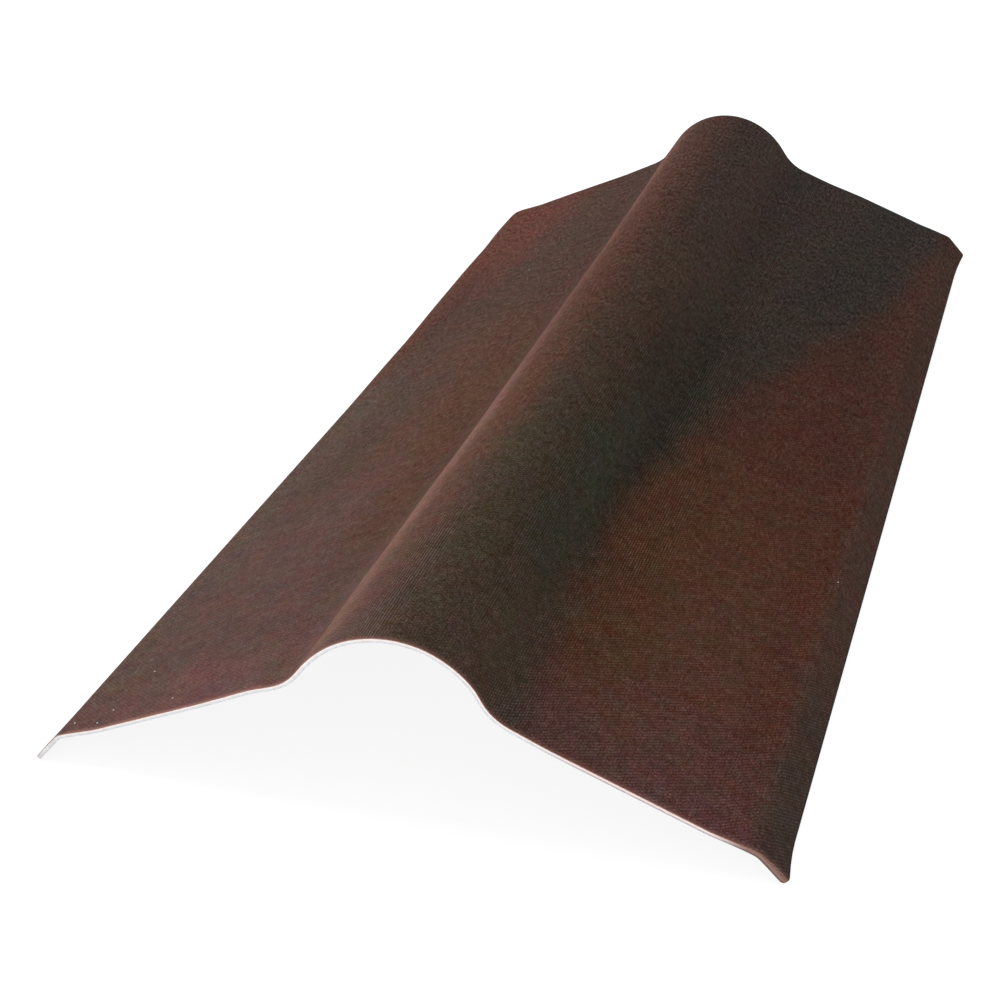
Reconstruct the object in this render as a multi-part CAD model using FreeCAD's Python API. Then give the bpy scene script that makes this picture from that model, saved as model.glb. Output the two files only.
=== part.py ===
import FreeCAD, Part
import math
import os

# Roof ridge cap: one sheet of bitumen-bound fibre, pressed hot to a saddle section.
# Lengths are in millimetres, slopes in degrees below the level, radii on the top face.
# X runs across the ridge, Y along it and Z up. The origin is on the floor under the middle,
# and the cap stands on the cut edges of its two lips.

# The sheet, with its width taken over both lips
LENGTH = 1000.0
WIDTH = 485.0
SHEET_T = 3.0

# The roll that stands over the ridge board
ROLL_R = 67.0
FLANK_SLOPE = 59.0
FLANK_RUN = 3.0
FOOT_R = 43.0

# The wings that lie on the two roof slopes, and the flatter hem along each of them
WING_SLOPE = 23.0
HEM_BEND_R = 60.0
HEM_SLOPE = 18.0
HEM_RUN = 24.0

# The drip lip turned down along each hem, its corners rounded where the sheet was trimmed
LIP_INNER_R = 7.0
LIP_SLOPE = 48.5
LIP_RUN = 20.0
LIP_CORNER_R = 5.0


def in_section(x, z):
    """A point or direction in the plane of the section."""
    return FreeCAD.Vector(x, 0, z)


def outward(slope):
    """The direction square to the top face where the right half falls at this slope."""
    angle = math.radians(slope)
    return in_section(math.sin(angle), math.cos(angle))


def downhill(slope):
    """The direction along the sheet where the right half falls at this slope."""
    angle = math.radians(slope)
    return in_section(math.cos(angle), -math.sin(angle))


def to_left(shape):
    """The same stretch on the left half."""
    return shape.mirror(FreeCAD.Vector(0, 0, 0), FreeCAD.Vector(1, 0, 0))


def lip_bend_r():
    """The lip bends round its inner radius, so the top face has the sheet outside that."""
    return LIP_INNER_R + SHEET_T


def bend_width(radius, slope, end_slope):
    """How far a bend goes across the ridge on the top face."""
    return radius * abs(outward(end_slope).x - outward(slope).x)


def wing_run():
    """The wing's flat is what the half width leaves beside the roll, the hem and the lip."""
    others = bend_width(ROLL_R, 0, FLANK_SLOPE)
    others += FLANK_RUN * downhill(FLANK_SLOPE).x
    others += bend_width(FOOT_R, FLANK_SLOPE, WING_SLOPE)
    others += bend_width(HEM_BEND_R, WING_SLOPE, HEM_SLOPE)
    others += HEM_RUN * downhill(HEM_SLOPE).x
    others += bend_width(lip_bend_r(), HEM_SLOPE, LIP_SLOPE)
    others += LIP_RUN * downhill(LIP_SLOPE).x
    return (WIDTH / 2 - others) / downhill(WING_SLOPE).x


def half_stretches():
    """Radius or run of each stretch beside the crown, and the slope at which it ends."""
    return [
        ("run", FLANK_RUN, FLANK_SLOPE),
        ("bend", FOOT_R, WING_SLOPE),
        ("run", wing_run(), WING_SLOPE),
        ("bend", HEM_BEND_R, HEM_SLOPE),
        ("run", HEM_RUN, HEM_SLOPE),
        ("bend", lip_bend_r(), LIP_SLOPE),
        ("run", LIP_RUN, LIP_SLOPE),
    ]


def bend(start, slope, end_slope, top_radius, inset):
    """An arc from one slope to the next, and its end. A steepening bend is hollow below."""
    hand = 1 if end_slope > slope else -1
    reach = hand * top_radius - inset
    centre = start - outward(slope) * reach
    middle = centre + outward((slope + end_slope) / 2) * reach
    end = centre + outward(end_slope) * reach
    return Part.Arc(start, middle, end).toShape(), end


def run(start, slope, length):
    """A straight stretch, and its end."""
    end = start + downhill(slope) * length
    return Part.makeLine(start, end), end


def face_line(inset):
    """One face of the sheet seen from its end, and its right lip's end.

    The inset is the depth below the top face. Every stretch runs tangent into the next,
    so one thickness parts the two faces all the way.
    """
    crown_centre = in_section(0, -ROLL_R)
    crown_r = ROLL_R - inset
    at = crown_centre + outward(FLANK_SLOPE) * crown_r
    left_shoulder = in_section(-at.x, at.z)
    crown = Part.Arc(left_shoulder, in_section(0, -inset), at).toShape()
    slope = FLANK_SLOPE
    right_half = []
    for kind, size, end_slope in half_stretches():
        if kind == "bend":
            edge, at = bend(at, slope, end_slope, size, inset)
        else:
            edge, at = run(at, slope, size)
        right_half.append(edge)
        slope = end_slope
    left_half = [to_left(edge) for edge in right_half]
    return left_half + [crown] + right_half, at


def saddle_section():
    """The closed section, and the two ends of its right lip's cut edge."""
    top_edges, top_end = face_line(0)
    under_edges, under_end = face_line(SHEET_T)
    cut = Part.makeLine(top_end, under_end)
    edges = top_edges + under_edges + [cut, to_left(cut)]
    return Part.Face(Part.Wire(Part.__sortEdges__(edges))), top_end, under_end


def round_lip_corners(sheet, top_end, under_end):
    """Round the four corners where a lip's cut edge meets an end of the sheet."""
    middle = (top_end + under_end) / 2
    corners = [in_section(side * middle.x, middle.z) + FreeCAD.Vector(0, y, 0)
               for side in (-1, 1) for y in (0, LENGTH)]
    near = SHEET_T / 100
    edges = [edge for edge in sheet.Edges
             if any(edge.CenterOfMass.distanceToPoint(corner) < near for corner in corners)]
    return sheet.makeFillet(LIP_CORNER_R, edges)


def ridge_cap():
    """The whole cap, moved so that it stands on its lips with the origin under its middle."""
    section, top_end, under_end = saddle_section()
    sheet = section.extrude(FreeCAD.Vector(0, LENGTH, 0))
    sheet = round_lip_corners(sheet, top_end, under_end)
    sheet.translate(FreeCAD.Vector(0, -LENGTH / 2, -under_end.z))
    return sheet


os.makedirs("parts", exist_ok=True)
ridge_cap().exportStep("parts/ridge_cap.step")
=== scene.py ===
import math

import bpy
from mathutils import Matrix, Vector


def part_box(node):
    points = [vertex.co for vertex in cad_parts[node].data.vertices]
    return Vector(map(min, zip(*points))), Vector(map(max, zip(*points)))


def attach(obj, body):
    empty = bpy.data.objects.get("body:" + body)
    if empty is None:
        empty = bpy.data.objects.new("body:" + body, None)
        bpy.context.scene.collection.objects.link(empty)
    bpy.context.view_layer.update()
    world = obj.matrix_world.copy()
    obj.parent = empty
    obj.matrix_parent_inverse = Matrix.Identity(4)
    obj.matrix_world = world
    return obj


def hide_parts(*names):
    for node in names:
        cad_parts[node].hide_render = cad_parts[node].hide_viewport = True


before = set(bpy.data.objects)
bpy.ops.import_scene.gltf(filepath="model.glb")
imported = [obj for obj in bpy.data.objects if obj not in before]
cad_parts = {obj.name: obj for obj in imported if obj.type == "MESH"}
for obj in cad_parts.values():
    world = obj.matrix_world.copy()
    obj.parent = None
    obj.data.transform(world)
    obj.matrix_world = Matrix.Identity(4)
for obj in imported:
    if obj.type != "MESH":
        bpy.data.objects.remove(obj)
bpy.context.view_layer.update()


# The cap is one sheet of bitumen-bound fibre, 3 mm thick, pressed hot between two moulds to a
# saddle section: a round roll over the ridge, a wing down each slope, a flatter hem along each
# wing and a drip lip turned down from it. Its ends and lips are trimmed square with a blade.
cap_low, cap_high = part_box("ridge_cap")

# Its section, in metres and in degrees below the level. The radii are on the top face.
SHEET_T = 0.003
ROLL_R = 0.067
FLANK_SLOPE = 59.0
FLANK_RUN = 0.003
FOOT_R = 0.043
WING_SLOPE = 23.0
HEM_BEND_R = 0.060
HEM_SLOPE = 18.0
HEM_RUN = 0.024
LIP_BEND_R = 0.010
LIP_SLOPE = 48.5
LIP_RUN = 0.020
WORN_CORNER_R = 0.005
SHARP_CORNER_R = 0.002
CORNER_STEPS = 6
CORNER_ROOM = 0.006
MESH_STEP = 0.005
LIP_BEND_STEP = 0.0013
ARRIS_R = 0.0004


def outward(slope):
    """The direction square to the top face where the right half falls at this slope."""
    return Vector((math.sin(math.radians(slope)), 0, math.cos(math.radians(slope))))


def downhill(slope):
    """The direction along the sheet where the right half falls at this slope."""
    return Vector((math.cos(math.radians(slope)), 0, -math.sin(math.radians(slope))))


def press_bend(at, slope, end_slope, radius, step):
    """Spins the line's last point round a bend, and gives where it ends."""
    hand = 1 if end_slope > slope else -1
    centre = at - outward(slope) * (hand * radius)
    turn = math.radians(end_slope - slope)
    steps = max(2, round(abs(turn) * radius / step))
    bpy.ops.mesh.spin(steps=steps, angle=-turn, center=centre, axis=(0, 1, 0))
    return centre + outward(end_slope) * (hand * radius)


def draw_run(at, slope, length, step):
    """Draws the line's last point out straight, in even steps, and gives where it ends."""
    steps = max(1, round(length / step))
    for _ in range(steps):
        move = downhill(slope) * (length / steps)
        bpy.ops.mesh.extrude_region_move(TRANSFORM_OT_translate={"value": move})
    return at + downhill(slope) * length


def finish_modifier(piece, kind, **settings):
    """Adds a modifier to the piece with these settings, and applies it."""
    modifier = piece.modifiers.new(kind.lower(), kind)
    for name, value in settings.items():
        setattr(modifier, name, value)
    bpy.ops.object.modifier_apply(modifier=modifier.name)


def mark_distance(mesh, start):
    """Gives each point of the line its distance from the start along the sheet."""
    beside = {v.index: [] for v in mesh.vertices}
    for edge in mesh.edges:
        beside[edge.vertices[0]].append(edge.vertices[1])
        beside[edge.vertices[1]].append(edge.vertices[0])
    here = min(mesh.vertices, key=lambda v: (v.co - start).length).index
    across = mesh.attributes.new("across", "FLOAT", "POINT")
    walked, passed = 0.0, {here}
    while True:
        across.data[here].value = walked
        onward = [there for there in beside[here] if there not in passed]
        if not onward:
            break
        walked += (mesh.vertices[onward[0]].co - mesh.vertices[here].co).length
        here = onward[0]
        passed.add(here)


# The right half of the section is drawn as a line at the near end, from the crown outwards.
bpy.ops.object.select_all(action="DESELECT")
crown_top = Vector((0, cap_low.y, cap_high.z))
bpy.ops.mesh.primitive_plane_add(size=MESH_STEP, location=crown_top)
cap = bpy.context.object
cap.name = "pressed_cap"
bpy.ops.object.transform_apply(location=True)
bpy.ops.object.mode_set(mode="EDIT")
bpy.ops.mesh.merge(type="CENTER")
at = press_bend(crown_top, 0, FLANK_SLOPE, ROLL_R, MESH_STEP)
at = draw_run(at, FLANK_SLOPE, FLANK_RUN, MESH_STEP)
at = press_bend(at, FLANK_SLOPE, WING_SLOPE, FOOT_R, MESH_STEP)
beyond_wing = (HEM_BEND_R * (outward(WING_SLOPE).x - outward(HEM_SLOPE).x)
               + HEM_RUN * downhill(HEM_SLOPE).x
               + LIP_BEND_R * (outward(LIP_SLOPE).x - outward(HEM_SLOPE).x)
               + LIP_RUN * downhill(LIP_SLOPE).x)
wing_run = (cap_high.x - beyond_wing - at.x) / downhill(WING_SLOPE).x
at = draw_run(at, WING_SLOPE, wing_run, MESH_STEP)
at = press_bend(at, WING_SLOPE, HEM_SLOPE, HEM_BEND_R, MESH_STEP)
at = draw_run(at, HEM_SLOPE, HEM_RUN, MESH_STEP)
at = press_bend(at, HEM_SLOPE, LIP_SLOPE, LIP_BEND_R, LIP_BEND_STEP)
at = draw_run(at, LIP_SLOPE, LIP_RUN - CORNER_ROOM, MESH_STEP)
at = draw_run(at, LIP_SLOPE, CORNER_ROOM, CORNER_ROOM)
bpy.ops.object.mode_set(mode="OBJECT")
mark_distance(cap.data, crown_top)
finish_modifier(cap, "MIRROR")
for point, across in zip(cap.data.vertices, cap.data.attributes["across"].data):
    across.value = math.copysign(across.value, point.co.x)

# The line is drawn along the ridge to a sheet, and the lips' four corners are rounded.
length = cap_high.y - cap_low.y
bpy.ops.object.mode_set(mode="EDIT")
bpy.ops.mesh.select_all(action="SELECT")
for stretch in (CORNER_ROOM, length - 2 * CORNER_ROOM, CORNER_ROOM):
    bpy.ops.mesh.extrude_region_move(TRANSFORM_OT_translate={"value": (0, stretch, 0)})
bpy.ops.mesh.select_mode(type="EDGE")
bpy.ops.mesh.select_all(action="DESELECT")
bpy.ops.object.mode_set(mode="OBJECT")
for edge in cap.data.edges:
    ends = [cap.data.vertices[i].co for i in edge.vertices]
    edge.select = abs(ends[0].y - ends[1].y) > 2 * CORNER_ROOM
bpy.ops.object.mode_set(mode="EDIT")
bpy.ops.mesh.subdivide(number_cuts=round(length / MESH_STEP) - 1)
bpy.ops.mesh.select_mode(type="VERT")


def select_points(wanted):
    """In edit mode, selects the points of the cap whose place is wanted, and no others."""
    bpy.ops.mesh.select_all(action="DESELECT")
    bpy.ops.object.mode_set(mode="OBJECT")
    for point in cap.data.vertices:
        point.select = wanted(point.co)
    bpy.ops.object.mode_set(mode="EDIT")


def draw_points(wanted, move, reach, falloff="SMOOTH"):
    """Moves the wanted points, and draws those within reach after them, less and less."""
    select_points(wanted)
    bpy.ops.transform.translate(value=move, use_proportional_edit=True, proportional_size=reach,
                                proportional_edit_falloff=falloff)


# The near right corner is worn round; the other three keep more of the blade's square.
SAME_PLACE = 1e-5
for radius, worn in ((WORN_CORNER_R, True), (SHARP_CORNER_R, False)):
    select_points(lambda co: cap_high.x - abs(co.x) < SAME_PLACE
                  and cap_high.y - abs(co.y) < SAME_PLACE
                  and worn == (co.x > 0 > co.y))
    bpy.ops.mesh.bevel(offset=radius, segments=CORNER_STEPS, affect="VERTICES")

# The lip bends are pressed less sharp at the far left and the near right.
BEND_ZONE = (0.200, 0.236)
SOFT_BENDS = [
    # side, end, how far from the end, rounds of smoothing
    (-1, 1, 0.060, 8),
    (-1, 1, 0.030, 12),
    (1, -1, 0.030, 6),
]
for side, end, reach, rounds in SOFT_BENDS:
    select_points(lambda co: BEND_ZONE[0] < co.x * side < BEND_ZONE[1]
                  and co.y * end > cap_high.y - reach)
    bpy.ops.mesh.vertices_smooth(factor=0.5, repeat=rounds, yaxis=False)

# The roll's left foot is pinched in towards the ridge, most at the middle of the length, and the
# right foot has crept outwards at the near end. Along the ridge, 0 is the middle of the cap.
FOOT_ZONE = (0.057, 0.079)
FOOT_CREEPS = [
    # side, from and to along the ridge, how far it crept to the right, reach
    (-1, -0.60, 0.38, 0.0014, 0.055),
    (-1, -0.44, 0.33, 0.0009, 0.055),
    (-1, -0.34, 0.27, 0.0009, 0.055),
    (-1, -0.22, 0.20, 0.0011, 0.055),
    (-1, -0.60, -0.46, 0.0007, 0.045),
    (1, -0.60, -0.47, 0.0018, 0.035),
]
for side, start, end, creep, reach in FOOT_CREEPS:
    draw_points(lambda co: FOOT_ZONE[0] < co.x * side < FOOT_ZONE[1] and start < co.y < end,
                (creep, 0, 0), reach)

# Beside that foot the left wing stands a little high at the near end, so the bend there is tight.
LIFTS_BESIDE_FOOT = [
    # from and to across the ridge, up to here along it, lift, reach
    (-0.092, -0.084, -0.44, 0.0010, 0.030),
    (-0.092, -0.084, -0.33, 0.0008, 0.035),
    (-0.086, -0.076, -0.46, 0.0014, 0.024),
]
for outer, inner, end, lift, reach in LIFTS_BESIDE_FOOT:
    draw_points(lambda co: outer < co.x < inner and co.y < end, (0, 0, lift), reach)

# The far end is trimmed a little long over the right wing.
LONG_ZONE = (0.14, 0.20)
LONG_FROM = 0.485
LONG_BY = 0.0045
LONG_REACH = 0.05
draw_points(lambda co: LONG_ZONE[0] < co.x < LONG_ZONE[1] and co.y > LONG_FROM,
            (0, LONG_BY, 0), LONG_REACH)

# Towards the far left the hem has sprung outwards, more and more to the end, which is also cut
# a little short.
HEM_ZONE = 0.218
HEM_SPRINGS = [
    # from here along the ridge, spring outwards, cut short, reach
    (0.13, 0.0012, 0, 0.12),
    (0.28, 0.0030, 0, 0.14),
    (0.37, 0.0018, 0, 0.12),
    (0.488, 0.0024, 0.0078, 0.09),
]
for start, spring, short, reach in HEM_SPRINGS:
    draw_points(lambda co: co.x < -HEM_ZONE and co.y > start, (-spring, -short, 0), reach)

# Three lip tips stand a few millimetres out of true, drawn outwards and towards the near end.
TIP_ZONE = 0.008
TIP_DRAWS = [
    # side, end, move, reach
    (-1, -1, (-0.0007, -0.0050, 0), 0.022),
    (1, -1, (0.0027, -0.0030, 0), 0.030),
    (1, 1, (0.0028, -0.0048, 0), 0.070),
]
for side, end, move, reach in TIP_DRAWS:
    draw_points(lambda co: co.x * side > cap_high.x - TIP_ZONE and co.y * end > cap_high.y - TIP_ZONE,
                move, reach, falloff="SHARP")
bpy.ops.mesh.select_all(action="SELECT")
bpy.ops.mesh.normals_make_consistent(inside=False)
bpy.ops.object.mode_set(mode="OBJECT")

# Left to cool on its lips, the sheet has set a little uneven: at the near end the roll leans
# right and has sunk, and at the far end it stands proud. A cage about the sheet bends it so.
NEAR_LEAN, NEAR_LIFT = 0.0105, -0.0025
FAR_LEAN, FAR_LIFT = -0.0022, 0.0036
CAGE_LAYERS = 3
size = cap_high - cap_low
bpy.ops.object.add(type="LATTICE", location=(cap_low + cap_high) / 2)
cage = bpy.context.object
cage.scale = size
cage.data.points_u, cage.data.points_v, cage.data.points_w = 2, 2, CAGE_LAYERS
for way in ("u", "v", "w"):
    setattr(cage.data, "interpolation_type_" + way, "KEY_LINEAR")
for point in cage.data.points:
    if point.co.z > 0:
        at_far_end = point.co.y > 0
        point.co_deform.x += (FAR_LEAN if at_far_end else NEAR_LEAN) / size.x
        point.co_deform.z += (FAR_LIFT if at_far_end else NEAR_LIFT) / size.z
bpy.context.view_layer.objects.active = cap
finish_modifier(cap, "LATTICE", object=cage)
bpy.data.objects.remove(cage)

# The sheet gets its thickness, and the blade's arrises are worn off. The coat runs over the
# arris of the top face. The depth tells how far down the cut edge a point lies.
COAT, UNDERSIDE, CUT_EDGE = 0, 1, 2
ARRIS_STEPS = 2
ARRIS_ANGLE = 60
SMOOTH_ANGLE = 30
for finish in ("coat", "underside", "cut_edge"):
    cap.data.materials.append(bpy.data.materials.new(finish))
finish_modifier(cap, "SOLIDIFY", thickness=SHEET_T, offset=-1, use_even_offset=True,
                material_offset=UNDERSIDE, material_offset_rim=CUT_EDGE)
depth = cap.data.attributes.new("depth", "FLOAT", "POINT")
for face in cap.data.polygons:
    if face.material_index == UNDERSIDE:
        for corner in face.vertices:
            depth.data[corner].value = 1
finish_modifier(cap, "BEVEL", width=ARRIS_R, segments=ARRIS_STEPS, limit_method="ANGLE",
                angle_limit=math.radians(ARRIS_ANGLE), material=COAT)
depth = cap.data.attributes["depth"]
for face in cap.data.polygons:
    least_depth = min(depth.data[corner].value for corner in face.vertices)
    if face.material_index == COAT and least_depth > 0.5:
        face.material_index = CUT_EDGE
bpy.ops.object.select_all(action="DESELECT")
cap.select_set(True)
bpy.ops.object.shade_smooth_by_angle(angle=math.radians(SMOOTH_ANGLE))
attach(cap, "root")
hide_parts("ridge_cap")


def paint(red, green, blue):
    """A colour read as a screen shows it, 0 to 255 a channel, for a shader's colour socket."""
    def straight(level):
        level = level / 255
        return level / 12.92 if level <= 0.04045 else ((level + 0.055) / 1.055) ** 2.4
    return (straight(red), straight(green), straight(blue), 1)


def feed(tree, node, feeds):
    """Feeds a node's inputs. A feed is a socket to link or a value to set."""
    for name, value in feeds.items():
        if isinstance(value, bpy.types.NodeSocket):
            tree.links.new(value, node.inputs[name])
        else:
            node.inputs[name].default_value = value


def add_node(tree, kind, feeds, **settings):
    """Adds a node with these feeds and settings."""
    node = tree.nodes.new("ShaderNode" + kind)
    for name, value in settings.items():
        setattr(node, name, value)
    feed(tree, node, feeds)
    return node


def reckon(tree, operation, *values, clamp=False):
    """One step of arithmetic on numbers or sockets."""
    feeds = dict(enumerate(values))
    return add_node(tree, "Math", feeds, operation=operation, use_clamp=clamp).outputs[0]


def between(tree, share, low, high):
    """Goes from low to high as the share goes from 0 to 1."""
    return reckon(tree, "MULTIPLY_ADD", share, high - low, low)


def vector_step(tree, operation, *values):
    """One step of vector arithmetic. Gives the node's outputs."""
    return add_node(tree, "VectorMath", dict(enumerate(values)), operation=operation).outputs


def scaled(tree, vector, factor):
    """A vector or a colour times a number."""
    return add_node(tree, "VectorMath", {0: vector, "Scale": factor}, operation="SCALE").outputs[0]


def ramp(tree, value, low, high):
    """Rises softly from 0 where the value is low to 1 where it is high."""
    feeds = {"Value": value, "From Min": low, "From Max": high}
    return add_node(tree, "MapRange", feeds, interpolation_type="SMOOTHERSTEP").outputs["Result"]


def cloud(tree, place, scale, detail=2.0, roughness=0.5, output="Fac"):
    """Noise over the sheet. The scale is in clouds a metre."""
    feeds = {"Vector": place, "Scale": scale, "Detail": detail, "Roughness": roughness}
    return add_node(tree, "TexNoise", feeds).outputs[output]


def blend(tree, mask, under, over):
    """Lays one colour over another where the mask is. The numbers are those of colour sockets."""
    feeds = {"Factor": mask, 6: under, 7: over}
    return add_node(tree, "Mix", feeds, data_type="RGBA").outputs[2]


def new_effect(name, takes, gives):
    """Starts a node group. Gives its tree, what comes in and what goes out."""
    tree = bpy.data.node_groups.new(name, "ShaderNodeTree")
    for side, sockets in (("INPUT", takes), ("OUTPUT", gives)):
        for socket, kind in sockets.items():
            tree.interface.new_socket(socket, in_out=side, socket_type="NodeSocket" + kind)
    return tree, tree.nodes.new("NodeGroupInput").outputs, tree.nodes.new("NodeGroupOutput").inputs


def use_effect(tree, effect, **feeds):
    """Places a node group in a material."""
    node = tree.nodes.new("ShaderNodeGroup")
    node.node_tree = effect
    feed(tree, node, feeds)
    return node.outputs


def open_material(material):
    """Gives a material its nodes. Gives their tree and its shader."""
    material.use_nodes = True
    return material.node_tree, material.node_tree.nodes["Principled BSDF"]


# The sheet dries on wire cloth, which prints a plain weave into both faces: a raised knuckle
# where each thread passes, every 1.9 mm across the ridge and 1.5 mm along it. The knuckles lie
# in slanting rows, plainest on the right; the rows stand in for light that catches one diagonal
# of the knuckles on each side. Where the cloth is drawn tight its lengthwise threads print
# instead. A zone is given in metres from the crown, a rise as its least and its most.
THREAD_GAP_ACROSS = 0.00191
THREAD_GAP_ALONG = 0.00146
THREAD_STRAY = (0.0009, 0.0009, 0)
STRAYS_A_METRE = 260
KNUCKLE_RISE = 0.14
ROWS_ZONE = (0.02, 0.13)
ROWS_RISE = (0.02, 0.13)
THREAD_RISE = (0.07, 0.43)
MID_HEIGHT = 0.5
GREY = (0.5, 0.5, 0.5)
weave, taken, given = new_effect("wire cloth", {"Place": "Vector", "Tight": "Float"},
                                 {"Height": "Float"})
stray = cloud(weave, taken["Place"], STRAYS_A_METRE, output="Color")
stray = vector_step(weave, "SUBTRACT", stray, GREY)[0]
moved = vector_step(weave, "MULTIPLY_ADD", stray, THREAD_STRAY, taken["Place"])[0]
parts = add_node(weave, "SeparateXYZ", {0: moved}).outputs
from_crown = reckon(weave, "ABSOLUTE", parts[0])
turn_across = reckon(weave, "MULTIPLY", from_crown, math.pi / THREAD_GAP_ACROSS)
turn_along = reckon(weave, "MULTIPLY", parts[1], math.pi / THREAD_GAP_ALONG)
over = reckon(weave, "COSINE", turn_across)
knuckle = reckon(weave, "MULTIPLY", over, reckon(weave, "COSINE", turn_along))
slant = reckon(weave, "COSINE", reckon(weave, "SUBTRACT", turn_across, turn_along))
lengthwise = reckon(weave, "COSINE", reckon(weave, "MULTIPLY", turn_across, 2.0))
height = reckon(weave, "MULTIPLY_ADD", knuckle, KNUCKLE_RISE, MID_HEIGHT)
rows = between(weave, ramp(weave, parts[0], *ROWS_ZONE), *ROWS_RISE)
threads = between(weave, taken["Tight"], *THREAD_RISE)
height = reckon(weave, "MULTIPLY_ADD", slant, rows, height)
height = reckon(weave, "MULTIPLY_ADD", lengthwise, threads, height)
weave.links.new(height, given["Height"])

# Waste-paper fibre shows through bitumen and coat as a fine felt, with longer hairs in it.
FIBRES_A_METRE = 680
FIBRE_RISE = 3.3
HAIRS_A_METRE = (560, 190, 0)
HAIR_RISE = 1.3
FELT_SINK = 0.15
felt, taken, given = new_effect("fibre felt", {"Place": "Vector"}, {"Height": "Float"})
fine = cloud(felt, taken["Place"], FIBRES_A_METRE, detail=1, roughness=0.8)
stretched = vector_step(felt, "MULTIPLY", taken["Place"], HAIRS_A_METRE)[0]
hairs = cloud(felt, stretched, 1.0, detail=1, roughness=0.7)
height = between(felt, fine, -FIBRE_RISE / 2, FIBRE_RISE / 2)
height = reckon(felt, "SUBTRACT", height, FELT_SINK)
height = reckon(felt, "MULTIPLY_ADD", hairs, HAIR_RISE, height)
felt.links.new(height, given["Height"])

# A stroke of the spray gun: full along its middle line, soft at its sides, fading at its ends.
STROKE_FEEDS = {"Place": "Vector", "From": "Vector", "To": "Vector", "Half Width": "Float",
                "Softness": "Float", "Fade": "Float", "Strength": "Float"}
stroke, taken, given = new_effect("spray stroke", STROKE_FEEDS, {"Mask": "Float"})
span = vector_step(stroke, "SUBTRACT", taken["To"], taken["From"])[0]
reach = vector_step(stroke, "SUBTRACT", taken["Place"], taken["From"])[0]
span_square = vector_step(stroke, "DOT_PRODUCT", span, span)["Value"]
share = reckon(stroke, "DIVIDE", vector_step(stroke, "DOT_PRODUCT", reach, span)["Value"], span_square)
nearest = scaled(stroke, span, share)
gap = vector_step(stroke, "DISTANCE", reach, nearest)["Value"]
outer = reckon(stroke, "ADD", taken["Half Width"], taken["Softness"])
inner = reckon(stroke, "SUBTRACT", taken["Half Width"], taken["Softness"])
sides = ramp(stroke, gap, outer, inner)
span_length = vector_step(stroke, "LENGTH", span)["Value"]
from_end = reckon(stroke, "MINIMUM", share, reckon(stroke, "SUBTRACT", 1.0, share))
from_end = reckon(stroke, "MULTIPLY", from_end, span_length)
ends = ramp(stroke, from_end, reckon(stroke, "MULTIPLY", taken["Fade"], -1.0), taken["Fade"])
mask = reckon(stroke, "MULTIPLY", sides, ends)
stroke.links.new(reckon(stroke, "MULTIPLY", mask, taken["Strength"]), given["Mask"])


def sheet_place(tree):
    """Where a point lies on the sheet laid flat: across from the crown, along from the middle."""
    across = add_node(tree, "Attribute", {}, attribute_name="across").outputs["Fac"]
    surface = add_node(tree, "TexCoord", {}).outputs["Object"]
    along = add_node(tree, "SeparateXYZ", {0: surface}).outputs[1]
    return add_node(tree, "CombineXYZ", {0: across, 1: along}).outputs[0]


FELT_DEPTH = 0.00012
PRINT_DEPTH = 0.00035


def pressed_normal(tree, print_height, felt_height):
    """The normal of a face that has the cloth's print and the felt in it."""
    relief = reckon(tree, "MULTIPLY", felt_height, FELT_DEPTH)
    relief = reckon(tree, "MULTIPLY_ADD", print_height, PRINT_DEPTH, relief)
    return add_node(tree, "Bump", {"Height": relief, "Strength": 1.0, "Distance": 1.0}).outputs[0]
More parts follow.
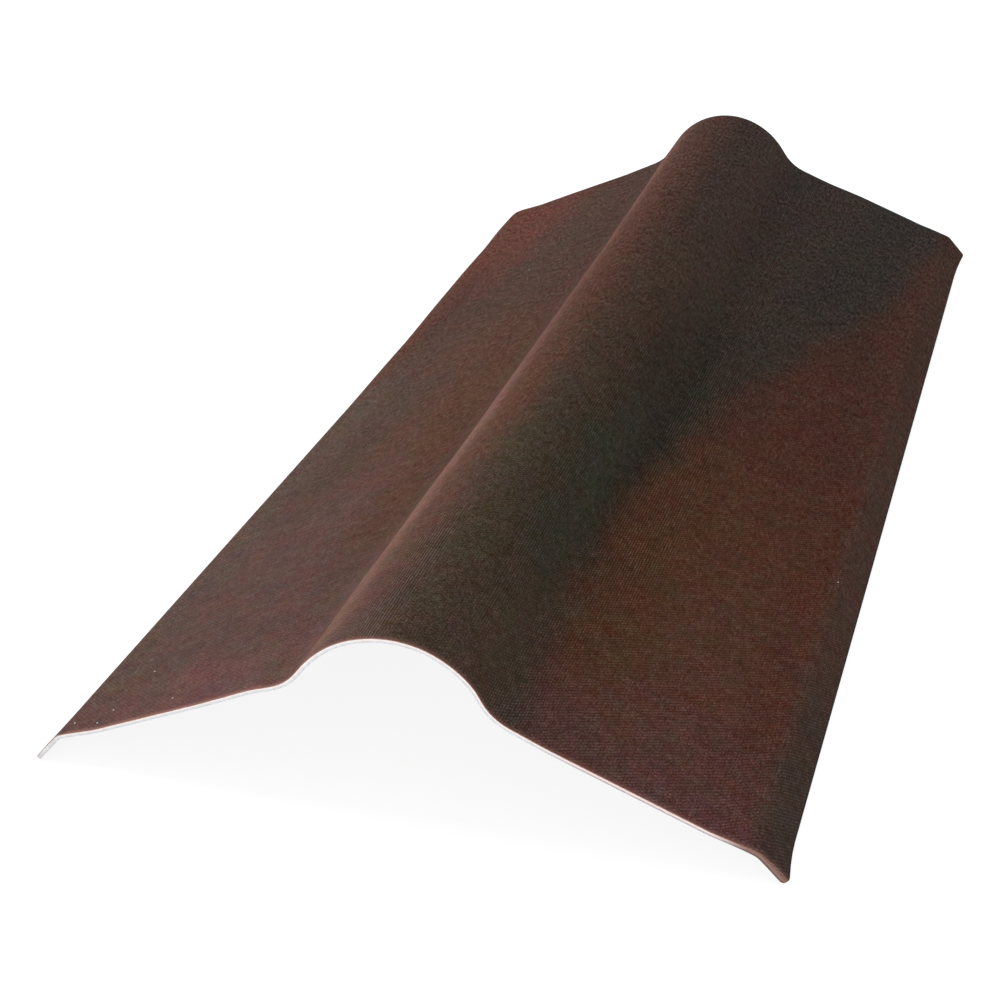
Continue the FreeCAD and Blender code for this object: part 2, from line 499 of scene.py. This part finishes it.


# The top face is sprayed red-brown, then shaded with a darker, greener spray in long soft
# strokes that run a little aslant of the ridge, as on fired tiles. The roll's left flank is
# painted lighter, down to its foot: a painted sheen of the light from the left.
# Both colours are painted lighter towards the near end, as a painted haze of light there.
RED_BROWN = [(-0.50, paint(90, 60, 57)), (-0.40, paint(86, 56, 46)), (-0.20, paint(82, 51, 36)),
             (0.00, paint(71, 44, 32)), (0.25, paint(63, 39, 28)), (0.50, paint(63, 38, 27))]
DARK_SPRAY = [(-0.50, paint(76, 61, 52)), (-0.35, paint(66, 55, 44)), (-0.20, paint(58, 54, 43)),
              (-0.05, paint(53, 44, 35)), (0.10, paint(58, 46, 38)), (0.50, paint(54, 42, 37))]
STROKES = [
    # from (across, along), to (across, along), half width, softness, fade, strength, colour
    ((-0.17, -0.62), (-0.17, -0.19), 0.115, 0.060, 0.09, 0.95, paint(81, 58, 52)),
    ((-0.14, -0.62), (-0.16, -0.46), 0.080, 0.070, 0.05, 0.60, paint(101, 67, 63)),
    ((-0.22, -0.22), (-0.205, 0.10), 0.050, 0.045, 0.09, 0.85, paint(68, 50, 42)),
    ((-0.100, -0.34), (-0.104, 0.02), 0.026, 0.024, 0.09, 0.75, paint(73, 46, 29)),
    ((-0.17, 0.01), (-0.135, 0.10), 0.036, 0.034, 0.03, 0.60, paint(75, 46, 32)),
    ((-0.17, 0.13), (-0.15, 0.46), 0.055, 0.045, 0.06, 0.90, paint(65, 45, 35)),
    ((-0.10, 0.25), (-0.10, 0.62), 0.025, 0.025, 0.05, 0.70, paint(59, 37, 27)),
    ((-0.240, 0.27), (-0.207, 0.62), 0.046, 0.034, 0.12, 0.90, paint(83, 45, 35)),
    ((-0.262, 0.00), (-0.258, 0.62), 0.020, 0.016, 0.08, 0.45, paint(88, 52, 41)),
    ((-0.25, -0.45), (-0.245, 0.05), 0.020, 0.020, 0.08, 0.60, paint(82, 66, 57)),
    ((0.125, -0.42), (0.135, -0.13), 0.030, 0.028, 0.07, 0.70, paint(80, 53, 33)),
    ((0.195, -0.12), (0.20, 0.12), 0.022, 0.020, 0.05, 0.45, paint(80, 44, 33)),
    ((0.242, -0.44), (0.245, 0.40), 0.016, 0.014, 0.08, 0.50, paint(76, 43, 33)),
    ((0.275, -0.62), (0.275, 0.10), 0.020, 0.010, 0.15, 0.85, paint(78, 57, 48)),
    ((0.275, 0.05), (0.275, 0.62), 0.020, 0.014, 0.12, 0.75, paint(74, 50, 39)),
    ((0.272, -0.62), (0.270, -0.34), 0.018, 0.010, 0.06, 0.60, paint(67, 56, 51)),
    # painted shade in the crease of the roll's left foot
    ((-0.082, -0.28), (-0.082, 0.62), 0.012, 0.010, 0.14, 0.45, paint(56, 30, 16)),
]
# Painted sheen of the light from the left on the roll's left flank, fading towards the crown.
FLANK_SHEEN_STROKES = [
    ((-0.060, -0.62), (-0.058, -0.04), 0.015, 0.014, 0.12, 0.90, paint(112, 80, 69)),
    ((-0.058, -0.10), (-0.056, 0.50), 0.015, 0.014, 0.12, 0.90, paint(100, 65, 56)),
    ((-0.034, 0.02), (-0.030, 0.38), 0.018, 0.014, 0.12, 0.55, paint(76, 42, 29)),
]
LEFT_FOOT = -0.070
FOOT_LINE_SOFT = 0.002

# The darker spray lies in a band between these lines, each knot given as along, across.
BAND_RIGHT = [(-0.5, 0.105), (-0.4, 0.100), (-0.3, 0.094), (-0.2, 0.102), (-0.1, 0.120), (0.0, 0.142),
              (0.1, 0.170), (0.2, 0.203), (0.3, 0.230), (0.4, 0.246), (0.5, 0.256)]
BAND_LEFT = [(-0.5, -0.021), (-0.3, -0.014), (-0.1, -0.001), (0.1, 0.008), (0.3, 0.013), (0.5, 0.005)]
RIGHT_SOFT = 0.020
LEFT_SOFT = 0.028
BAND_STROKES = [
    ((0.015, -0.62), (0.022, -0.14), 0.022, 0.020, 0.08, 0.70, paint(62, 51, 37)),
    ((0.055, -0.62), (0.058, -0.40), 0.024, 0.020, 0.06, 0.60, paint(76, 61, 50)),
    ((0.060, -0.36), (0.072, -0.12), 0.021, 0.018, 0.06, 0.70, paint(57, 55, 45)),
    # painted shade in the crease of the roll's right foot, where the roll hides the light from the
    # left
    ((0.090, -0.30), (0.102, 0.10), 0.014, 0.014, 0.09, 0.85, paint(46, 39, 30)),
    ((0.030, -0.16), (0.038, 0.16), 0.020, 0.020, 0.06, 0.60, paint(70, 50, 40)),
    ((0.055, 0.08), (0.058, 0.62), 0.022, 0.020, 0.08, 0.70, paint(70, 53, 45)),
    ((0.13, 0.04), (0.17, 0.24), 0.022, 0.020, 0.05, 0.60, paint(49, 42, 36)),
    ((0.176, 0.20), (0.222, 0.60), 0.034, 0.028, 0.07, 0.80, paint(45, 39, 32)),
]
TIGHT_CLOTH = [
    # from (across, along), to (across, along), half width, softness, fade, strength
    ((0.082, -0.52), (0.116, -0.30), 0.020, 0.018, 0.04, 0.50),
    ((0.116, -0.34), (0.120, 0.04), 0.026, 0.018, 0.07, 0.80),
    ((0.116, 0.00), (0.105, 0.50), 0.022, 0.018, 0.05, 0.45),
    ((0.050, -0.44), (0.042, 0.02), 0.014, 0.010, 0.07, 0.50),
    ((-0.016, -0.56), (-0.013, -0.34), 0.012, 0.008, 0.06, 0.75),
]
PALE_FLECKS = [(-0.174, -0.483), (-0.226, -0.479), (-0.252, -0.488), (-0.231, -0.492),
               (-0.217, -0.437), (-0.166, 0.247), (0.257, -0.200)]
DARK_FLECKS = [(0.128, -0.253), (0.124, -0.310), (0.256, -0.302), (0.273, -0.288), (0.226, -0.425)]
FLECK_R = 0.00056
FLECK_SOFT = 0.0002
FLECK_STRENGTH = 0.85
HALF_LENGTH = 0.5
HALF_SPAN = 0.3
SPRAY_DRIFT = (0.040, 0.120, 0)
DRIFTS_A_METRE = 12
tree, shader = open_material(bpy.data.materials["coat"])
place = sheet_place(tree)
drift = cloud(tree, place, DRIFTS_A_METRE, detail=8, roughness=0.78, output="Color")
drift = vector_step(tree, "SUBTRACT", drift, GREY)[0]
sprayed = vector_step(tree, "MULTIPLY_ADD", drift, SPRAY_DRIFT, place)[0]
sprayed_parts = add_node(tree, "SeparateXYZ", {0: sprayed}).outputs

# The sheet is one metre long, so a place along it goes from 0 to 1 when half of that is added.
along_share = reckon(tree, "ADD", sprayed_parts[1], HALF_LENGTH)


def stroke_mask(shape, where):
    """How much of a stroke lies at each point of the coat."""
    start, end, half_width, softness, fade, strength = shape
    feeds = {"Place": where, "From": (*start, 0), "To": (*end, 0), "Half Width": half_width,
             "Softness": softness, "Fade": fade, "Strength": strength}
    return use_effect(tree, stroke, **feeds)["Mask"]


def lay_strokes(colour, strokes):
    """Sprays these strokes over a colour, one after another."""
    for *shape, pigment in strokes:
        colour = blend(tree, stroke_mask(shape, sprayed), colour, pigment)
    return colour


def edge_line(points):
    """How far across a band's edge lies, by how far along the sheet it is."""
    curve = add_node(tree, "FloatCurve", {"Value": along_share})
    knots = curve.mapping.curves[0].points
    for _ in points[2:]:
        knots.new(0.5, 0.5)
    for knot, (along, across) in zip(knots, points):
        knot.location = (along + HALF_LENGTH, (across + HALF_SPAN) / (2 * HALF_SPAN))
    curve.mapping.update()
    return between(tree, curve.outputs["Value"], -HALF_SPAN, HALF_SPAN)


def colour_along(stops):
    """A colour that changes from the near end of the sheet to the far end."""
    ramped = add_node(tree, "ValToRGB", {"Fac": along_share})
    elements = ramped.color_ramp.elements
    for _ in stops[2:]:
        elements.new(0.5)
    for element, (along, colour) in zip(elements, stops):
        element.position = along + HALF_LENGTH
        element.color = colour
    return ramped.outputs["Color"]


inside_right = reckon(tree, "SUBTRACT", edge_line(BAND_RIGHT), sprayed_parts[0])
inside_left = reckon(tree, "SUBTRACT", sprayed_parts[0], edge_line(BAND_LEFT))
inside_right = ramp(tree, inside_right, -RIGHT_SOFT, RIGHT_SOFT)
inside_left = ramp(tree, inside_left, -LEFT_SOFT, LEFT_SOFT)
band = reckon(tree, "MULTIPLY", inside_right, inside_left)
ground = lay_strokes(colour_along(RED_BROWN), STROKES)
shaded = lay_strokes(colour_along(DARK_SPRAY), BAND_STROKES)
from_crown, from_middle = add_node(tree, "SeparateXYZ", {0: place}).outputs[:2]
# The painted sheen stops sharp at the left flank's foot.
flank_sheen_end = ramp(tree, from_crown, LEFT_FOOT - FOOT_LINE_SOFT, LEFT_FOOT + FOOT_LINE_SOFT)
ground = blend(tree, flank_sheen_end, ground, lay_strokes(ground, FLANK_SHEEN_STROKES))
colour = blend(tree, band, ground, shaded)

# The spray lies uneven, in blotches three fingers and one finger wide, in a fine mottle, and in
# short streaks that are plainer towards the far end.
BLOTCHES = [
    # blotches a metre, how much they change red, green and blue
    (32, (0.61, 0.50, 0.52)),
    (120, (0.50, 0.42, 0.46)),
]
MOTTLES_A_METRE = (210, 75)
COARSE_SHARE = 0.6
MOTTLE_SHARE = 1.1
MOTTLE_LEVEL = 0.12
STREAKS_A_METRE = (430, 150, 0)
STREAK_RISE = (0.2, 3.2)
for scale, tint_depth in BLOTCHES:
    blotch = cloud(tree, place, scale, detail=3, roughness=0.6, output="Color")
    blotch = vector_step(tree, "SUBTRACT", blotch, GREY)[0]
    tint = vector_step(tree, "MULTIPLY_ADD", blotch, tint_depth, (1, 1, 1))[0]
    colour = vector_step(tree, "MULTIPLY", colour, tint)[0]
mottle = cloud(tree, place, MOTTLES_A_METRE[0], detail=1, roughness=0.6)
coarse = cloud(tree, place, MOTTLES_A_METRE[1], detail=1)
mottle = reckon(tree, "MULTIPLY_ADD", coarse, COARSE_SHARE, mottle)
mottle = reckon(tree, "MULTIPLY_ADD", mottle, MOTTLE_SHARE, MOTTLE_LEVEL)
streaks = cloud(tree, vector_step(tree, "MULTIPLY", place, STREAKS_A_METRE)[0], 1.0, detail=1)
streaks = reckon(tree, "SUBTRACT", streaks, 0.5)
mottle = reckon(tree, "MULTIPLY_ADD", streaks, between(tree, along_share, *STREAK_RISE), mottle)

# The print and the felt darken the coat where they are deep: the felt as fibre showing through,
# the print's hollows as painted shade. There a share of the colour is lost, and a little of all
# three channels alike.
FELT_LEVEL = 0.5
PRINT_SHARE = 1.5
PRINT_LEVEL = 0.25
DEEPEST_TONE = 0.25
PIT_SHARE = 0.65
PIT_SHADE = 0.026
DARKEST = (0.004, 0.003, 0.003)
tight = 0.0
for shape in TIGHT_CLOTH:
    tight = reckon(tree, "MAXIMUM", stroke_mask(shape, place), tight)
print_height = use_effect(tree, weave, Place=place, Tight=tight)["Height"]
felt_height = use_effect(tree, felt, Place=place)["Height"]
grain = reckon(tree, "ADD", felt_height, FELT_LEVEL)
shaded_pits = reckon(tree, "MULTIPLY_ADD", print_height, PRINT_SHARE, PRINT_LEVEL)
tone = reckon(tree, "MULTIPLY", reckon(tree, "MULTIPLY", grain, shaded_pits), mottle)
tone = reckon(tree, "MAXIMUM", tone, DEEPEST_TONE)
colour = scaled(tree, colour, between(tree, tone, PIT_SHARE, 1.0))
shade = between(tree, tone, -PIT_SHADE, 0.0)
shade = add_node(tree, "CombineXYZ", {0: shade, 1: shade, 2: shade}).outputs[0]
colour = vector_step(tree, "ADD", colour, shade)[0]
colour = vector_step(tree, "MAXIMUM", colour, DARKEST)[0]
for flecks, pigment in ((PALE_FLECKS, paint(235, 232, 225)), (DARK_FLECKS, paint(22, 17, 15))):
    from_fleck = HALF_SPAN
    for x, y in flecks:
        gap = vector_step(tree, "DISTANCE", place, (x, y, 0))["Value"]
        from_fleck = reckon(tree, "MINIMUM", gap, from_fleck)
    dots = ramp(tree, from_fleck, FLECK_R + FLECK_SOFT, FLECK_R - FLECK_SOFT)
    colour = blend(tree, reckon(tree, "MULTIPLY", dots, FLECK_STRENGTH), colour, pigment)

# The far arris and the lips' arris are painted dark. The near rim is painted a pale pinkish
# brown, most over the left wing and not on the left lip.
FAR_RIM = (0.4955, 0.4985)
FAR_STRENGTH = 0.8
LIP_RIM = (0.2795, 0.2812)
LIP_STRENGTH = 0.7
PALE_RIM = (-0.4955, -0.4988)
PALE_RIM_ACROSS = (-0.06, -0.14)
PALE_RIM_STRENGTH = (0.30, 0.55)
LEFT_LIP = (-0.256, -0.250)
NEAR_ARRIS = (-0.4993, -0.4998)
FRAYS_A_METRE = 420
FRAY_WIDTH = 0.0070
LEAST_ROUGHNESS = 0.65
FELT_ROUGHNESS = 0.2
from_ridge = reckon(tree, "ABSOLUTE", from_crown)
far_end = reckon(tree, "MULTIPLY", ramp(tree, from_middle, *FAR_RIM), FAR_STRENGTH)
lip_end = reckon(tree, "MULTIPLY", ramp(tree, from_ridge, *LIP_RIM), LIP_STRENGTH)
colour = blend(tree, reckon(tree, "MAXIMUM", far_end, lip_end), colour, paint(44, 47, 43))
frayed = reckon(tree, "SUBTRACT", cloud(tree, place, FRAYS_A_METRE, detail=3, roughness=0.75), 0.5)
near_rim = reckon(tree, "MULTIPLY_ADD", frayed, FRAY_WIDTH, from_middle)
# The near rim is painted paler: a pale pinkish brown over the coat, paler still on the arris.
pale_rim = between(tree, ramp(tree, from_crown, *PALE_RIM_ACROSS), *PALE_RIM_STRENGTH)
pale_rim = reckon(tree, "MULTIPLY", pale_rim, ramp(tree, from_crown, *LEFT_LIP))
pale_rim = reckon(tree, "MULTIPLY", pale_rim, ramp(tree, near_rim, *PALE_RIM))
colour = blend(tree, pale_rim, colour, paint(142, 100, 90))
colour = blend(tree, ramp(tree, from_middle, *NEAR_ARRIS), colour, paint(150, 116, 106))
rough = reckon(tree, "MULTIPLY_ADD", felt_height, FELT_ROUGHNESS, LEAST_ROUGHNESS, clamp=True)
feed(tree, shader, {
    "Base Color": colour,
    "Roughness": rough,
    "Normal": pressed_normal(tree, print_height, felt_height),
    "Specular IOR Level": 0.06,
})

# The underside is the bare bitumen-soaked felt, brown-black, with the same print.
PATCHES_A_METRE = 18
UNDER_PRINT_SHARE = 0.9
UNDER_PRINT_LEVEL = 0.55
tree, shader = open_material(bpy.data.materials["underside"])
place = sheet_place(tree)
print_height = use_effect(tree, weave, Place=place, Tight=0.3)["Height"]
felt_height = use_effect(tree, felt, Place=place)["Height"]
patches = cloud(tree, place, PATCHES_A_METRE, detail=5, roughness=0.65)
colour = blend(tree, ramp(tree, patches, 0.35, 0.70), paint(44, 37, 34), paint(58, 47, 41))
grain = reckon(tree, "ADD", felt_height, FELT_LEVEL)
# The print's hollows are painted shade here as on the coat; the felt darkens as fibre.
shaded_pits = reckon(tree, "MULTIPLY_ADD", print_height, UNDER_PRINT_SHARE, UNDER_PRINT_LEVEL)
feed(tree, shader, {
    "Base Color": scaled(tree, colour, reckon(tree, "MULTIPLY", grain, shaded_pits)),
    "Roughness": between(tree, patches, 0.5, 0.8),
    "Normal": pressed_normal(tree, print_height, felt_height),
    "Specular IOR Level": 0.12,
})

# Where the blade has cut the ends and the lips, the paper fibre of the core is bare, torn a
# little ragged, and painted near white: a painted highlight of strong light on the cut face.
# Towards the right a smear of bitumen lies over its lower part, under a pink-white painted
# highlight along the top, and the right tip is brown with it. The left tip is grey.
TUFTS_A_METRE = 260
TUFT_REACH = 1.3
TUFT_SHADE = 0.9
TUFT_HEIGHT = 0.0003
SMEAR_ACROSS = (0.10, 0.16)
TIP_ACROSS = (0.225, 0.258)
LEFT_TIP_ACROSS = (-0.252, -0.262)
tree, shader = open_material(bpy.data.materials["cut_edge"])
down = add_node(tree, "Attribute", {}, attribute_name="depth").outputs["Fac"]
across = add_node(tree, "Attribute", {}, attribute_name="across").outputs["Fac"]
surface = add_node(tree, "TexCoord", {}).outputs["Object"]
ragged = reckon(tree, "SUBTRACT", cloud(tree, surface, TUFTS_A_METRE, detail=4, roughness=0.8), 0.5)
down = reckon(tree, "MULTIPLY_ADD", ragged, TUFT_REACH, down)
# Painted highlight: the bare face near white, greyer towards the bottom.
highlit_fibre = blend(tree, ramp(tree, down, 0.10, 0.90), paint(252, 240, 235), paint(224, 226, 231))
# Towards the right a pink-white painted highlight along the top, over the darker smear below.
smear_and_highlight = blend(tree, ramp(tree, down, 0.35, 0.90), paint(250, 230, 224), paint(182, 174, 182))
tip = blend(tree, ramp(tree, down, 0.15, 0.90), paint(150, 116, 108), paint(104, 88, 82))
colour = blend(tree, ramp(tree, across, *SMEAR_ACROSS), highlit_fibre, smear_and_highlight)
colour = blend(tree, ramp(tree, across, *TIP_ACROSS), colour, tip)
colour = blend(tree, ramp(tree, across, *LEFT_TIP_ACROSS), colour, paint(222, 221, 221))
fibre = reckon(tree, "MULTIPLY_ADD", ragged, TUFT_SHADE, 1.0)
feeds = {"Height": ragged, "Strength": 1.0, "Distance": TUFT_HEIGHT}
feed(tree, shader, {
    "Base Color": scaled(tree, colour, fibre),
    "Roughness": 0.8,
    "Normal": add_node(tree, "Bump", feeds).outputs[0],
    "Specular IOR Level": 0.2,
})


# The floor is a plain pale sheet under the cap, as in a photo studio. It shows white where the
# cap doesn't shade it.
FLOOR_SIZE = 12
FLOOR_GREY = (0.3, 0.3, 0.3, 1)
FLOOR_GLOW = (0.86, 0.86, 0.86, 1)
bpy.ops.mesh.primitive_plane_add(size=FLOOR_SIZE, location=(0, 0, 0))
floor = bpy.context.object
floor.name = "floor"
pale = bpy.data.materials.new("pale_floor")
tree, shader = open_material(pale)


def seen_ray(tree):
    """Is 1 for the rays that show a background: from the camera, off gloss and through glass."""
    path = add_node(tree, "LightPath", {}).outputs
    seen = reckon(tree, "MAXIMUM", path["Is Camera Ray"], path["Is Glossy Ray"])
    return reckon(tree, "MAXIMUM", seen, path["Is Transmission Ray"])


feed(tree, shader, {
    "Base Color": FLOOR_GREY,
    "Roughness": 1,
    "Specular IOR Level": 0,
    "Emission Color": FLOOR_GLOW,
    "Emission Strength": seen_ray(tree),
})
floor.data.materials.append(pale)

# Studio light: an even white room, a broad soft lamp from the left and a fill at the near end.
ROOM_LIGHT = 0.45
world = bpy.data.worlds.new("studio")
world.use_nodes = True
tree = world.node_tree
room_light = reckon(tree, "MAXIMUM", seen_ray(tree), ROOM_LIGHT)
feed(tree, tree.nodes["Background"], {"Color": (1, 1, 1, 1), "Strength": room_light})
bpy.context.scene.world = world


CAP_MIDDLE = Vector((0, 0, 0.05))


def soft_lamp(name, place, size, power):
    """A square soft lamp that looks at the middle of the cap."""
    lamp = bpy.data.objects.new(name, bpy.data.lights.new(name, "AREA"))
    lamp.data.size = size
    lamp.data.energy = power
    lamp.location = place
    sight = CAP_MIDDLE - Vector(place)
    lamp.rotation_euler = sight.to_track_quat("-Z", "Y").to_euler()
    bpy.context.scene.collection.objects.link(lamp)


soft_lamp("left_lamp", (-2.6, 0.4, 1.9), 2.0, 90)
soft_lamp("near_lamp", (0.5, -3.2, 0.6), 1.5, 60)

# The camera stands at the near end, to the right of the ridge, and looks down along it.
LENS = 64.672
ABOVE_CROWN = 0.55890
LOOK_DOWN = 28.707
LOOK_LEFT = 19.818
TILT = -3.329
camera = bpy.data.objects.new("camera", bpy.data.cameras.new("camera"))
bpy.context.scene.collection.objects.link(camera)
camera.data.lens = LENS
camera.location = (0.36941, -1.29172, ABOVE_CROWN + cap_high.z)
camera.rotation_euler = (math.radians(90 - LOOK_DOWN), 0, math.radians(LOOK_LEFT))
camera.rotation_euler.rotate_axis("Z", math.radians(TILT))
bpy.context.scene.camera = camera

bpy.context.scene.view_settings.view_transform = "Standard"
